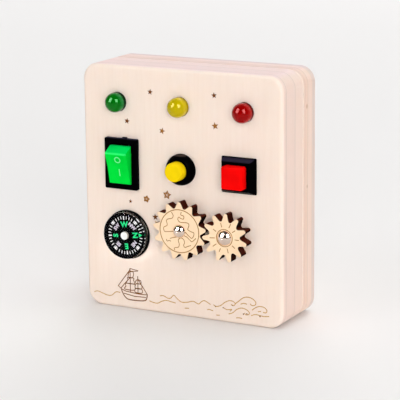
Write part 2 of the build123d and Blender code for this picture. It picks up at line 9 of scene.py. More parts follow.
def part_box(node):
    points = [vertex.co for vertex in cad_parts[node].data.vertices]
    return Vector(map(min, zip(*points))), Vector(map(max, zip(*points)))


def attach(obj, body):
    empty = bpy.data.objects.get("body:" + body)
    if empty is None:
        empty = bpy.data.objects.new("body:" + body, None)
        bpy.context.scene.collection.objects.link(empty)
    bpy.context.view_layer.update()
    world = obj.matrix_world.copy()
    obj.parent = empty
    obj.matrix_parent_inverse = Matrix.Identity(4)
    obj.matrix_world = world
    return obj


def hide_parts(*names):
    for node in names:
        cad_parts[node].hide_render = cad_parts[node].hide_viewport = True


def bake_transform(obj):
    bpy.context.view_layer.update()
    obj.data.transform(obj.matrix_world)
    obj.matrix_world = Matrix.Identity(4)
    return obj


bl_info = {
    "name": "Wooden Busy Board",
    "version": (1, 0, 0),
    "blender": (4, 5, 0),
    "location": "View3D > Sidebar > Busy Board",
    "description": "Finishes, print, lenses and burnt drawings of a small wooden busy board",
    "category": "Object",
}

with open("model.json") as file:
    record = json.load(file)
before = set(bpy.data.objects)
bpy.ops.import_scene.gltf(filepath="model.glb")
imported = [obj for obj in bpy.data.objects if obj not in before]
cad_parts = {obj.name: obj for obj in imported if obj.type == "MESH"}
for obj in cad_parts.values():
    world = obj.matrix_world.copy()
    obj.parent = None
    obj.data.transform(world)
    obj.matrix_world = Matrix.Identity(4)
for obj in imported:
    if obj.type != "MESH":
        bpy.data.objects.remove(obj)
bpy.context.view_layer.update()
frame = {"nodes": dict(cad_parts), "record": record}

MM = 0.001


def middle(node):
    """Middle of a CAD node's box, in millimetres."""
    low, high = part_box(node)
    return (low + high) / 2 / MM


def front(node):
    """How far forward a CAD node reaches, in millimetres."""
    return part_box(node)[0].y / MM


def pivot(joint_name):
    """Where a joint turns, in millimetres."""
    for joint in frame["record"]["behaviour"]["joints"]:
        if joint["name"] == joint_name:
            return Vector(joint["pos_m"]) / MM
    raise KeyError(joint_name)


def seen_from_front(point):
    """A point without its depth: its x and z."""
    return (point.x, point.z)


FACE_Y = front("front_panel")
GEAR_FACE_Y = front("large_gear")
LAMPS = {colour: middle(f"{colour}_led_lens") for colour in ("green", "yellow", "red")}
COMPASS = seen_from_front(middle("compass_case"))
GEARS = {name: seen_from_front(pivot(f"{name}_spin")) for name in ("large_gear", "small_gear")}
ROCKER_PIVOT = pivot("rocker_tilt")

# how far the rocker leans at rest
ROCKER_TILT = radians(15.4)

# how far the compass card is turned at rest, and where its pointer stands, in degrees
CARD_TURN = -6.0
POINTER_BEARING = 90

# thickness of the print, and how far print and burnt lines reach into their ground, in millimetres
PRINT_HEIGHT = 0.03
SUNK = 0.01

# edges that are steeper than this stay sharp, on the solids and on the turned shapes
CAD_EDGE = radians(32)
LATHE_EDGE = radians(38)

# ---------------------------------------------------------------- settings


def colour_setting(name, description, default):
    return FloatVectorProperty(
        name=name, description=description, default=default, subtype="COLOR", min=0.0, max=1.0
    )


def length_setting(name, description, default):
    return FloatProperty(name=name, description=description, default=default, unit="LENGTH")


class WoodSettings(bpy.types.PropertyGroup):
    """Colours of the wood and of what is burnt into it"""

    panel: colour_setting("Panel", "Sanded face of the board", (0.925, 0.779, 0.685))
    panel_grain: colour_setting("Panel grain", "Darker fibres of the board", (0.863, 0.698, 0.59))
    gear: colour_setting("Gear", "Face of the gears", (0.985, 0.755, 0.525))
    gear_grain: colour_setting("Gear grain", "Darker fibres of the gears", (0.92, 0.64, 0.40))
    char: colour_setting("Char", "Burnt walls of the gears", (0.020, 0.0030, 0.0012))
    gear_burn: colour_setting("Gear burn", "Lines drawn on the gears", (0.34, 0.17, 0.04))
    light_burn: colour_setting("Light burn", "Faint drawn lines", (0.52, 0.31, 0.10))
    brown_burn: colour_setting("Brown burn", "Open and half-burnt stars", (0.28, 0.115, 0.025))
    dark_burn: colour_setting("Dark burn", "Deeply drawn lines and stars", (0.14, 0.042, 0.008))
    line_height: length_setting("Line height", "How far a drawn line stands proud", 0.00003)


class LampSettings(bpy.types.PropertyGroup):
    """Tinted lenses of the three lamps"""

    # painted light: the brighter edge colours of the domes; painted shade: the darker side colours of
    # the lenses
    green: colour_setting("Green", "Dome of the green lens", (0.0, 0.145, 0.003))
    green_glow: colour_setting("Green glow", "Edge of the green dome", (0.0, 0.175, 0.03))
    green_foot: colour_setting("Green foot", "Side of the green lens", (0.0, 0.028, 0.004))
    yellow: colour_setting("Yellow", "Dome of the yellow lens", (0.54, 0.42, 0.0))
    yellow_glow: colour_setting("Yellow glow", "Edge of the yellow dome", (0.58, 0.45, 0.0))
    yellow_foot: colour_setting("Yellow foot", "Side of the yellow lens", (0.37, 0.27, 0.0))
    red: colour_setting("Red", "Dome of the red lens", (0.30, 0.0, 0.0))
    red_glow: colour_setting("Red glow", "Edge of the red dome", (0.37, 0.0, 0.0))
    red_foot: colour_setting("Red foot", "Side of the red lens", (0.13, 0.0, 0.0))
    segments: IntProperty(name="Segments", description="Sides of the round lens", default=96, min=24)


class SwitchSettings(bpy.types.PropertyGroup):
    """Plastics of the switches"""

    black: colour_setting("Black", "Housings", (0.0006, 0.0006, 0.0011))
    # painted highlights: slopes of black plastic that face up, and the upper rim of the round bezel
    black_top: colour_setting("Black, upward", "Slopes that face up", (0.030, 0.025, 0.050))
    bezel_painted_highlight: colour_setting("Bezel shine", "Upper rim of the round bezel", (0.060, 0.043, 0.038))
    rocker: colour_setting("Rocker", "Rocker of the switch", (0.0, 0.76, 0.05))
    # painted light on the rocker's upper end, and a painted highlight along its upper ridge
    rocker_painted_light: colour_setting("Rocker end", "Upper end of the rocker", (0.0, 0.90, 0.15))
    rocker_ridge_highlight: colour_setting("Rocker ridge", "Upper ridge of the rocker", (0.03, 0.96, 0.20))
    # the pale colour of the raised marks is a painted highlight
    mark: colour_setting("Mark", "Raised marks on the rocker", (0.20, 1.0, 0.38))
    round_cap: colour_setting("Round cap", "Cap of the round button", (0.98, 0.70, 0.003))
    square_cap: colour_setting("Square cap", "Cap of the square button", (0.97, 0.002, 0.002))


class CompassSettings(bpy.types.PropertyGroup):
    """Card, print and window of the button compass"""

    card: colour_setting("Card", "Ground of the card", (0.0012, 0.0016, 0.0018))
    ticks: colour_setting("Ticks", "Degree marks", (0.97, 0.97, 0.99))
    small_letters: colour_setting("Small letters", "Letters between the large ones", (0.62, 0.59, 0.68))
    letters: colour_setting("Letters", "Large letters and the pointer", (0.02, 0.76, 0.25))
    ring_radius: length_setting("Ring radius", "Outer end of the degree marks", 0.00795)
    segments: IntProperty(name="Segments", description="Sides of the window", default=128, min=24)


class StageSettings(bpy.types.PropertyGroup):
    """Floor, lights and camera"""

    floor: colour_setting("Floor", "Plain pale floor", (0.92, 0.91, 0.905))
    key_power: FloatProperty(name="Key", description="Left softbox", default=11.0, unit="POWER")
    side_power: FloatProperty(name="Side", description="Right softbox", default=8.0, unit="POWER")
    fill_power: FloatProperty(name="Fill", description="Softbox in front", default=47.0, unit="POWER")
    top_power: FloatProperty(name="Top", description="Softbox above", default=34.0, unit="POWER")
    back_power: FloatProperty(name="Back", description="Softbox behind", default=33.0, unit="POWER")
    catchlight: FloatProperty(
        name="Catchlight", description="Brightness mirrored in gloss", default=16.0
    )
    ambient: FloatProperty(name="Ambient", description="Strength of the surroundings", default=0.28)
    backdrop: FloatProperty(name="Backdrop", description="Brightness of the background", default=0.82)
    focal_length: FloatProperty(
        name="Focal length", description="Lens of the camera", default=161.3, unit="CAMERA"
    )


GROUPS = {
    "wood": WoodSettings,
    "lamps": LampSettings,
    "switches": SwitchSettings,
    "compass": CompassSettings,
    "stage": StageSettings,
}


class BoardSettings(bpy.types.PropertyGroup):
    """All settings of the busy board"""


for group_name, group in GROUPS.items():
    BoardSettings.__annotations__[group_name] = PointerProperty(type=group)


def settings(group_name):
    """The values of one group of settings."""
    return getattr(bpy.context.scene.busy_board, group_name)


# ---------------------------------------------------------------- finishes


def fill(tree, socket, value):
    """Links an input to another node's output, or gives it a value."""
    if isinstance(value, bpy.types.NodeSocket):
        tree.links.new(value, socket)
    else:
        socket.default_value = value


def add_node(tree, kind, inputs, **attributes):
    """Adds a shader node, sets its attributes and fills its inputs."""
    node = tree.nodes.new(f"ShaderNode{kind}")
    for name, value in attributes.items():
        setattr(node, name, value)
    for key, value in inputs.items():
        fill(tree, node.inputs[key], value)
    return node


def scaled(colour, share):
    """A colour made darker or lighter by a share."""
    return tuple(share * c for c in colour)


class Finish:
    """A material with its node tree, built up step by step."""

    def __init__(self, name, colour, roughness=0.5, metallic=0.0, **sockets):
        self.material = bpy.data.materials.new(name)
        self.material.use_nodes = True
        self.tree = self.material.node_tree
        self.shader = self.tree.nodes["Principled BSDF"]
        coordinates = self.node("TexCoord", {}).outputs
        self.place = coordinates["Object"]
        self.normal = coordinates["Normal"]
        self.set(base_color=(*colour[:3], 1.0), roughness=roughness, metallic=metallic, **sockets)

    def set(self, **sockets):
        """Fills inputs of the shader, each by its own name in small letters."""
        for name, value in sockets.items():
            title = name.replace("_", " ").title().replace("Ior", "IOR")
            fill(self.tree, self.shader.inputs[title], value)

    def node(self, kind, inputs, **attributes):
        return add_node(self.tree, kind, inputs, **attributes)

    def noise(self, scale, stretch=(1, 1, 1), detail=3.0, roughness=0.5):
        """Uneven pattern, drawn out along an axis whose stretch is below 1."""
        stretched = self.node("Mapping", {"Vector": self.place, "Scale": stretch})
        inputs = {
            "Vector": stretched.outputs[0],
            "Scale": scale,
            "Detail": detail,
            "Roughness": roughness,
        }
        return self.node("TexNoise", inputs).outputs[0]

    def remap(self, value, low, high, to_low=0.0, to_high=1.0):
        """A value moved from one range to another and kept inside it."""
        inputs = {0: value, 1: low, 2: high, 3: to_low, 4: to_high}
        return self.node("MapRange", inputs, clamp=True).outputs[0]

    def math(self, operation, a, b=0.0):
        return self.node("Math", {0: a, 1: b}, operation=operation).outputs[0]

    def mix(self, factor, a, b):
        """Colour between two, each of them plain or the output of a node."""
        a, b = (c if isinstance(c, bpy.types.NodeSocket) else (*c[:3], 1.0) for c in (a, b))
        return self.node("Mix", {0: factor, 6: a, 7: b}, data_type="RGBA").outputs[2]

    def tint(self, factor, colour, shade):
        """The colour multiplied by a shade where the factor is 1."""
        inputs = {0: factor, 6: colour, 7: (*shade, 1.0)}
        return self.node("Mix", inputs, data_type="RGBA", blend_type="MULTIPLY").outputs[2]

    def axis(self, index, vector=None):
        """One axis of a vector, or of the place on the object."""
        return self.node("SeparateXYZ", {0: vector or self.place}).outputs[index]

    def facing(self, index):
        """One axis of the direction that the surface faces."""
        return self.axis(index, self.normal)

    def side(self, low, high):
        """1 on faces that look sideways, up or down, and 0 on those that look to the front or back."""
        return self.remap(self.math("ABSOLUTE", self.facing(1)), low, high, 1.0, 0.0)

    def between(self, value, low, high, blur):
        """1 between two limits and 0 outside, with soft ends."""
        above = self.remap(value, low - blur, low + blur)
        below = self.remap(value, high - blur, high + blur, 1.0, 0.0)
        return self.math("MULTIPLY", above, below)

    def distance(self, point, weights):
        """Distance from a point in metres, with each axis counted by its weight."""
        offset = self.node("VectorMath", {0: self.place, 1: point}, operation="SUBTRACT").outputs[0]
        counted = self.node("VectorMath", {0: offset, 1: weights}, operation="MULTIPLY").outputs[0]
        return self.node("VectorMath", {0: counted}, operation="LENGTH").outputs[1]

    def bump(self, height, strength, distance):
        inputs = {"Height": height, "Strength": strength, "Distance": distance}
        self.set(normal=self.node("Bump", inputs).outputs[0])


def wood(name, pale, grain, seams=(), charred=None, knots=(), bands=()):
    """Fine, close-grained wood with its fibres along Z.

    The seams are the depths of the glue lines, and the bands are stretches of depth with painted
    shade and light on the sides, both in millimetres. A knot is a centre and a size in metres. A
    charred colour burns the sides, with painted light where they look up and painted shade where
    they look down. Faces that look up get painted light, and faces that look along X get painted
    shade.
    """
    burnt = charred is not None
    finish = Finish(
        name,
        pale,
        ior=1.06 if burnt else 1.1,
        subsurface_weight=0.0 if burnt else 0.3,
        subsurface_radius=(1.0, 0.8, 0.65),
        subsurface_scale=0.003,
    )
    fibres = finish.noise(900, stretch=(1, 1, 0.06), detail=5, roughness=0.6)
    clouds = finish.noise(45, stretch=(1, 1, 0.35), detail=3)
    flecks = finish.noise(2600, stretch=(1, 1, 0.09), detail=2)
    amount = 0.0
    for texture, low, high, share in (
        (fibres, 0.38, 0.75, 0.34),
        (clouds, 0.35, 0.75, 0.26),
        (flecks, 0.62, 0.80, 0.30),
    ):
        amount = finish.math("ADD", amount, finish.remap(texture, low, high, 0.0, share))
    colour = finish.mix(amount, pale, grain)
    wall = finish.side(0.55, 0.85)
    # painted light: faces that look up are made lighter and bluer
    top = finish.math("MULTIPLY", finish.remap(finish.facing(2), 0.75, 0.95), wall)
    colour = finish.tint(top, colour, (1.06, 1.03, 1.12))
    # painted shade: faces that look along X are made a little darker and warmer
    painted_flank_shade = finish.remap(finish.math("ABSOLUTE", finish.facing(0)), 0.75, 0.95)
    colour = finish.tint(painted_flank_shade, colour, (1.01, 0.972, 0.965))
    # bands of painted shade and light on the sides, by depth
    for low, high, shade in bands:
        band = finish.between(finish.axis(1), low * MM, high * MM, 0.15 * MM)
        colour = finish.tint(finish.math("MULTIPLY", band, wall), colour, shade)
    for seam in seams:
        line = finish.math("MULTIPLY", glue_line(finish, seam), wall)
        colour = finish.mix(line, colour, scaled(grain, 0.72))
    for centre, size in knots:
        colour = finish.mix(knot(finish, centre, size, clouds), colour, (0.48, 0.27, 0.13))
    if burnt:
        colour = finish.mix(wall, colour, char_with_painted_light(finish, charred))
    finish.set(base_color=colour, roughness=finish.remap(fibres, 0.3, 0.8, 0.48, 0.66))
    finish.bump(finish.math("ADD", fibres, flecks), 0.12, 0.00012)
    return finish.material


def glue_line(finish, seam):
    """Strongest at the seam between two layers, and gone 0.3 mm from it."""
    away = finish.math("ABSOLUTE", finish.math("SUBTRACT", finish.axis(1), seam * MM))
    return finish.remap(away, 0.08 * MM, 0.3 * MM, 0.5, 0.0)


def knot(finish, centre, size, clouds):
    """A spot with a soft edge that the clouds make uneven."""
    wobble = finish.math("MULTIPLY", finish.math("SUBTRACT", clouds, 0.5), 1.2)
    reach = finish.distance(centre, [1 / length for length in size])
    return finish.remap(finish.math("ADD", reach, wobble), 0.35, 1.0, 0.55, 0.0)


def char_with_painted_light(finish, charred):
    """Uneven char, with painted shade that makes it darkest where it looks down and painted light
    that makes it browner where it looks up.
    """
    patches = finish.noise(700, stretch=(1, 0.25, 1), detail=4)
    uneven = finish.mix(patches, charred, scaled(charred, 2.4))
    # painted light where the char looks up, painted shade where it looks down
    brown = finish.mix(0.5, uneven, scaled(charred, 6.5))
    return finish.mix(finish.remap(finish.facing(2), -0.2, 0.9), scaled(charred, 0.35), brown)


def moulded(
    name, colour, roughness, ior=1.2, painted_upward_light=None, limits=(0.70, 0.95), span=None, ridge=None
):
    """Injection-moulded plastic with a faint spark texture.

    The upward colour is painted light where the plastic faces up. The limits are how far up a face
    has to look for that, and the span is the heights between which it does. A ridge is a line along X
    with a painted highlight on it, given by a point on it and its colour.
    """
    finish = Finish(name, colour, ior=ior)
    speckle = finish.noise(2500, detail=2)
    drift = finish.remap(finish.noise(120, detail=2), 0.35, 0.7)
    shown = finish.mix(drift, colour, scaled(colour, 0.85))
    # painted light on faces that look up
    if painted_upward_light is not None:
        share = finish.remap(finish.facing(2), *limits)
        if span is not None:
            share = finish.math("MULTIPLY", share, finish.between(finish.axis(2), *span, 0.25 * MM))
        shown = finish.mix(share, shown, painted_upward_light)
    # painted highlight along the ridge
    if ridge is not None:
        point, shine = ridge
        line = finish.remap(finish.distance(point, (0, 1, 1)), 0.25 * MM, 0.6 * MM, 0.75, 0.0)
        shown = finish.mix(line, shown, shine)
    finish.set(
        base_color=shown,
        roughness=finish.remap(speckle, 0.3, 0.7, roughness * 0.85, roughness * 1.2),
    )
    finish.bump(speckle, 0.05, 0.00005)
    return finish.material


def metal(name, colour, roughness):
    """Plated or drawn metal, a little tarnished and not evenly polished."""
    finish = Finish(name, colour, metallic=1.0)
    polish = finish.noise(1500, detail=3)
    tarnish = finish.remap(finish.noise(250, detail=2), 0.4, 0.75)
    finish.set(
        base_color=finish.mix(tarnish, colour, scaled(colour, 0.82)),
        roughness=finish.remap(polish, 0.3, 0.7, roughness * 0.7, roughness * 1.3),
    )
    finish.bump(polish, 0.04, 0.00003)
    return finish.material


def tinted_epoxy(name, dome, glow):
    """Cast, tinted dome, brighter round its edge with painted light.

    Its gloss leans towards the tint.
    """
    sheen = [0.3 + 0.7 * c / max(glow) for c in glow]
    finish = Finish(name, dome, 0.05, ior=1.43, specular_tint=(*sheen, 1.0))
    haze = finish.remap(finish.noise(500, detail=2), 0.3, 0.75)
    colour = finish.mix(haze, dome, scaled(dome, 0.85))
    # painted light round the edge of the dome
    ahead = finish.math("MULTIPLY", finish.facing(1), -1.0)
    edge = finish.remap(ahead, 0.22, 0.52, 0.9, 0.0)
    finish.set(base_color=finish.mix(edge, colour, glow))
    return finish.material


def clear_plastic(name):
    """Water-clear moulded window filled with liquid, with a faint gloss."""
    gloss = (0.04, 0.04, 0.06, 1.0)
    finish = Finish(name, (1.0, 1.0, 1.0), ior=1.42, transmission_weight=1.0, specular_tint=gloss)
    finish.set(roughness=finish.remap(finish.noise(60), 0.3, 0.8, 0.0, 0.004))
    return finish.material


def white_enamel(name, face, side):
    """Painted cap, with painted shade down its side."""
    finish = Finish(name, face, 0.3, specular_ior_level=0.2)
    drift = finish.remap(finish.noise(600, detail=2), 0.3, 0.7, 0.75, 1.0)
    # painted shade down the side
    shaded_side = finish.math("MULTIPLY", finish.side(0.2, 0.7), drift)
    finish.set(base_color=finish.mix(shaded_side, face, side))
    return finish.material


def printed(name, colour, roughness=0.6):
    """Ink or a burnt line, a little uneven."""
    finish = Finish(name, colour, roughness, ior=1.04)
    uneven = finish.remap(finish.noise(1400, detail=3), 0.35, 0.75)
    lighter = tuple(min(1.0, c * 1.35 + 0.01) for c in colour)
    finish.set(base_color=finish.mix(uneven, colour, lighter))
    return finish.material


def dress(node_name, material):
    """Gives a CAD solid its finish, with smooth shading broken at its real edges."""
    mesh = frame["nodes"][node_name].data
    mesh.materials.clear()
    mesh.materials.append(material)
    mesh.polygons.foreach_set("use_smooth", [True] * len(mesh.polygons))
    mesh.set_sharp_from_angle(angle=CAD_EDGE)


# ---------------------------------------------------------------- shapes


def add_object(name, mesh, material):
    """Adds a mesh to the scene, with one finish."""
    mesh.materials.clear()
    mesh.materials.append(material)
    made = bpy.data.objects.new(name, mesh)
    bpy.context.scene.collection.objects.link(made)
    return made


def add_piece(name, mesh, material, body):
    """Adds a piece that rides on a body, with one finish."""
    piece = add_object(name, mesh, material)
    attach(piece, body)
    return piece


def mesh_from(name, points, faces, smooth=False):
    """Mesh from points in millimetres."""
    mesh = bpy.data.meshes.new(name)
    mesh.from_pydata([Vector(p) * MM for p in points], [], faces)
    mesh.polygons.foreach_set("use_smooth", [smooth] * len(mesh.polygons))
    mesh.update()
    return mesh


def lathe_mesh(name, outline, x, z, segments):
    """Closed solid of revolution about the Y direction. The outline is (radius, y) points."""
    points, rings = [], []
    for radius, y in outline:
        on_axis = radius < 1e-6
        if on_axis:
            rings.append([len(points)] * segments)
            points.append((x, y, z))
            continue
        rings.append(list(range(len(points), len(points) + segments)))
        for step in range(segments):
            angle = 2 * pi * step / segments
            points.append((x + radius * cos(angle), y, z + radius * sin(angle)))
    faces = []
    for first, second in zip(rings, rings[1:]):
        for step in range(segments):
            after = (step + 1) % segments
            corners = [first[step], first[after], second[after], second[step]]
            faces.append(list(dict.fromkeys(corners)))
    mesh = mesh_from(name, points, faces, smooth=True)
    mesh.set_sharp_from_angle(angle=LATHE_EDGE)
    return mesh


def arc(centre, radius, start, end, steps):
    """Points along an arc in the sketch plane, angles in degrees."""
    angles = [radians(start + (end - start) * step / steps) for step in range(steps + 1)]
    return [(centre[0] + radius * cos(a), centre[1] + radius * sin(a)) for a in angles]


def flowing(points, steps=6, closed=False):
    """Smooth curve through points: a Catmull-Rom spline."""
    points = [Vector(p) for p in points]
    count = len(points)
    last = count if closed else count - 1
    curve = []
    for index in range(last):
        a = points[(index - 1) % count] if closed or index else points[0]
        b, c = points[index], points[(index + 1) % count]
        d = points[(index + 2) % count] if closed or index + 2 < count else points[-1]
        for step in range(steps):
            t = step / steps
            curve.append(
                0.5 * (2 * b + (c - a) * t + (2 * a - 5 * b + 4 * c - d) * t**2
                       + (3 * b - a - 3 * c + d) * t**3)
            )
    if not closed:
        curve.append(points[-1])
    return [(p.x, p.y) for p in curve]


def stroke(line, width, closed=False):
    """Low ridge with a flat top along a line: points as (x, z, height share) and faces."""
    flat = 0.6
    line = [Vector(p) for p in line]
    count = len(line)
    points, faces = [], []
    for index, here in enumerate(line):
        before = line[(index - 1) % count] if closed or index else here
        after = line[(index + 1) % count] if closed or index + 1 < count else here
        along = (after - before).normalized()
        across = Vector((-along.y, along.x)) * (width / 2)
        for share, height in ((-1, 0), (-flat, 1), (flat, 1), (1, 0)):
            spot = here + across * share
            points.append((spot.x, spot.y, height))
    for index in range(count if closed else count - 1):
        base, ahead = 4 * index, 4 * ((index + 1) % count)
        for side in range(3):
            faces.append([base + side, base + side + 1, ahead + side + 1, ahead + side])
    if not closed:
        faces.append([3, 2, 1, 0])
        faces.append([4 * count - 4, 4 * count - 3, 4 * count - 2, 4 * count - 1])
    return points, faces


def filled(outline):
    """Flat shape with a short slope round it: points as (x, z, height share) and faces."""
    flat = 0.9
    outline = [Vector(p) for p in outline]
    centre = sum(outline, Vector((0, 0))) / len(outline)
    points = [(p.x, p.y, 0) for p in outline]
    points += [(*(centre + (p - centre) * flat), 1) for p in outline]
    points.append((centre.x, centre.y, 1))
    count = len(outline)
    faces = []
    for index in range(count):
        after = (index + 1) % count
        faces.append([index, after, count + after, count + index])
        faces.append([count + index, count + after, 2 * count])
    return points, faces


def joined(shapes, raised):
    """One list of points and one of faces from several shapes. Each point is put in its place."""
    points, faces = [], []
    for shape_points, shape_faces in shapes:
        start = len(points)
        points += [raised(*point) for point in shape_points]
        faces += [[start + corner for corner in face] for face in shape_faces]
    return points, faces


def relief(name, shapes, ground_y, height, material, body, offset=(0, 0)):
    """Joins strokes and filled shapes into one low relief on a face that looks towards -Y."""

    def raised(x, z, share):
        return (x + offset[0], ground_y + SUNK - share * (height + SUNK), z + offset[1])

    points, faces = joined(shapes, raised)
    add_piece(name, mesh_from(name, points, faces), material, body)


def star(x, z, radius, turn, waist=0.42):
    """Five-pointed star as a closed outline. The turn is the direction of its first point."""
    outline = []
    for step in range(10):
        reach = radius if step % 2 == 0 else radius * waist
        angle = radians(turn + 36 * step)
        outline.append((x + reach * cos(angle), z + reach * sin(angle)))
    return outline


def letter_mesh(text, height, weight, thickness):
    """Capital letters as a mesh in millimetres, centred, lying in XY and rising along +Z."""
    curve = bpy.data.curves.new("lettering", "FONT")
    curve.body = text
    curve.size = 1.0
    curve.offset = weight
    curve.extrude = 0.5
    curve.resolution_u = 3
    writing = bpy.data.objects.new("lettering", curve)
    mesh = bpy.data.meshes.new_from_object(writing)
    bpy.data.objects.remove(writing)
    low = [min(v.co[i] for v in mesh.vertices) for i in (0, 1)]
    high = [max(v.co[i] for v in mesh.vertices) for i in (0, 1)]
    scale = height / (high[1] - low[1])
    centre = Vector(((low[0] + high[0]) / 2, (low[1] + high[1]) / 2, 0))
    mesh.transform(Matrix.Diagonal((scale, scale, thickness, 1)) @ Matrix.Translation(-centre))
    return mesh


def combine(name, meshes):
    """One mesh from several, each placed by its matrix, in metres."""
    points, faces = [], []
    for mesh, matrix in meshes:
        start = len(points)
        points += [matrix @ v.co for v in mesh.vertices]
        faces += [[start + corner for corner in face.vertices] for face in mesh.polygons]
        bpy.data.meshes.remove(mesh)
    whole = bpy.data.meshes.new(name)
    whole.from_pydata(points, [], faces)
    whole.update()
    return whole


def on_card(bearing, radius, y):
    """Matrix that stands a flat sketch on the compass card, its top outwards.

    A bearing counts clockwise from the top of the card as it lies before its turn.
    """
    x, z = COMPASS
    return (
        Matrix.Scale(MM, 4)
        @ Matrix.Translation((x, y, z))
        @ Matrix.Rotation(radians(bearing + CARD_TURN), 4, "Y")
        @ Matrix.Translation((0, 0, radius))
        @ Matrix.Rotation(radians(90), 4, "X")
    )


# ---------------------------------------------------------------- drawings, in millimetres

# stars: middle, radius, direction of the first point in degrees, and waist where it has its own
STARS = (
    (-13.67, 91.48, 1.32, 84),
    (15.12, 92.15, 1.35, 97),
    (-24.56, 78.86, 1.32, 80),
    (-23.64, 45.7, 0.95, 90),
    (-12.16, 40.33, 1.55, 95),
)
BROWN_STARS = ((-8.45, 76.08, 1.5, 75), (15.45, 80.03, 1.65, 100))
OPEN_STARS = ((-16.12, 47.42, 1.15, 78, 0.5), (-6.59, 50.03, 1.5, 84, 0.42))

# faint curve under the lowest star
LITTLE_ARC = ((-12.3, 38.5), (-11.7, 38.1), (-11.0, 38.3), (-10.7, 38.7))

# lines of the sea, from left to right
WAVES = (
    (
        (-41.9, 5.2), (-40.2, 5.7), (-37.8, 5.1), (-35.4, 4.5), (-33.4, 4.8), (-31.4, 6.4),
        (-29.4, 6.4),
    ),
    ((-15.6, 4.6), (-13.6, 4.1), (-11.6, 4.1), (-9.6, 5.2), (-7.6, 5.8), (-5.4, 5.5), (-3.2, 5.2)),
    (
        (-10.6, 7.3), (-9.0, 7.6), (-6.9, 6.8), (-5.6, 7.0), (-4.1, 8.4), (-2.6, 7.2), (-0.6, 6.0),
        (2.0, 6.2), (4.8, 7.0), (7.2, 6.2), (8.6, 7.3), (10.2, 7.9), (12.8, 6.6),
    ),
    ((0.9, 3.6), (2.9, 3.8)),
    ((11.2, 4.3), (12.2, 4.5), (13.9, 4.2)),
    ((15.3, 2.6), (16.9, 2.7)),
    ((24.3, 2.6), (25.6, 2.8), (27.0, 2.7)),
)
CRESTS = (
    (
        (14.1, 6.8), (15.4, 6.2), (17.4, 6.9), (19.0, 8.2), (21.0, 9.3), (22.9, 9.3), (23.9, 8.4),
        (23.2, 7.6), (22.0, 7.9),
    ),
    (
        (23.9, 8.4), (25.6, 9.8), (27.6, 11.4), (29.8, 11.9), (31.9, 11.3), (33.1, 10.0),
        (32.6, 8.9), (31.3, 8.7), (30.6, 9.3),
    ),
    ((26.3, 8.5), (27.6, 9.1), (29.2, 8.9)),
    ((18.4, 6.2), (20.2, 5.5), (22.3, 5.9), (21.5, 5.0)),
    (
        (20.9, 3.8), (22.7, 4.5), (24.5, 6.1), (26.7, 7.0), (28.9, 6.6), (30.2, 5.5), (29.7, 4.6),
        (28.5, 4.5), (28.1, 5.2),
    ),
    ((31.4, 6.7), (32.7, 7.8), (34.7, 8.7), (36.9, 8.5), (38.0, 7.3), (37.4, 6.4), (36.3, 6.5)),
    ((34.0, 6.4), (35.4, 6.8)),
    ((31.0, 4.4), (32.8, 5.1), (34.6, 5.0), (36.6, 4.8), (39.0, 5.1)),
)

# spray: middle and radius
CREST_DOTS = (
    (15.0, 6.2, 0.32), (18.5, 6.1, 0.3), (22.6, 7.6, 0.3), (27.6, 4.6, 0.34), (29.1, 4.9, 0.3),
    (34.9, 4.6, 0.34),
)

# the ship: hull, deck lines with masts and stays, sails from the top down on each mast, pennant
HULL = (
    (-28.8, 8.0), (-28.2, 6.5), (-27.2, 5.0), (-25.6, 4.0), (-22.4, 3.9), (-18.4, 4.2),
    (-17.0, 5.0), (-16.5, 6.9),
)
SHIP_LINES = (
    ((-30.2, 9.2), (-28.7, 8.0), (-26.6, 7.3), (-23.0, 7.0), (-19.4, 6.8), (-16.4, 7.0)),
    ((-27.6, 6.3), (-22.6, 5.6), (-17.2, 5.8)),
    ((-24.5, 17.4), (-24.5, 7.2)),
    ((-20.9, 14.4), (-20.9, 7.0)),
    ((-30.4, 9.1), (-24.6, 16.6)),
    ((-29.0, 8.4), (-24.6, 13.4)),
    ((-16.5, 7.1), (-20.9, 13.2)),
)
SAILS = (
    ((-25.4, 13.5), (-23.4, 13.5), (-22.9, 15.6), (-24.0, 16.0), (-25.1, 15.4)),
    ((-26.3, 10.9), (-22.6, 10.9), (-22.9, 12.4), (-22.9, 13.3), (-25.7, 13.3), (-25.6, 12.2)),
    ((-27.2, 8.2), (-22.7, 8.2), (-22.3, 9.7), (-22.5, 10.7), (-26.6, 10.7), (-26.6, 9.5)),
    ((-21.9, 11.3), (-19.5, 11.3), (-19.7, 12.7), (-21.5, 12.7)),
    ((-22.1, 9.2), (-19.2, 9.2), (-19.4, 11.0), (-21.8, 11.0)),
    ((-22.2, 7.4), (-19.0, 7.4), (-19.1, 9.0), (-21.9, 9.0)),
)
PENNANT = ((-24.5, 17.2), (-22.9, 17.0), (-20.7, 16.7), (-22.4, 16.3), (-24.4, 16.2))

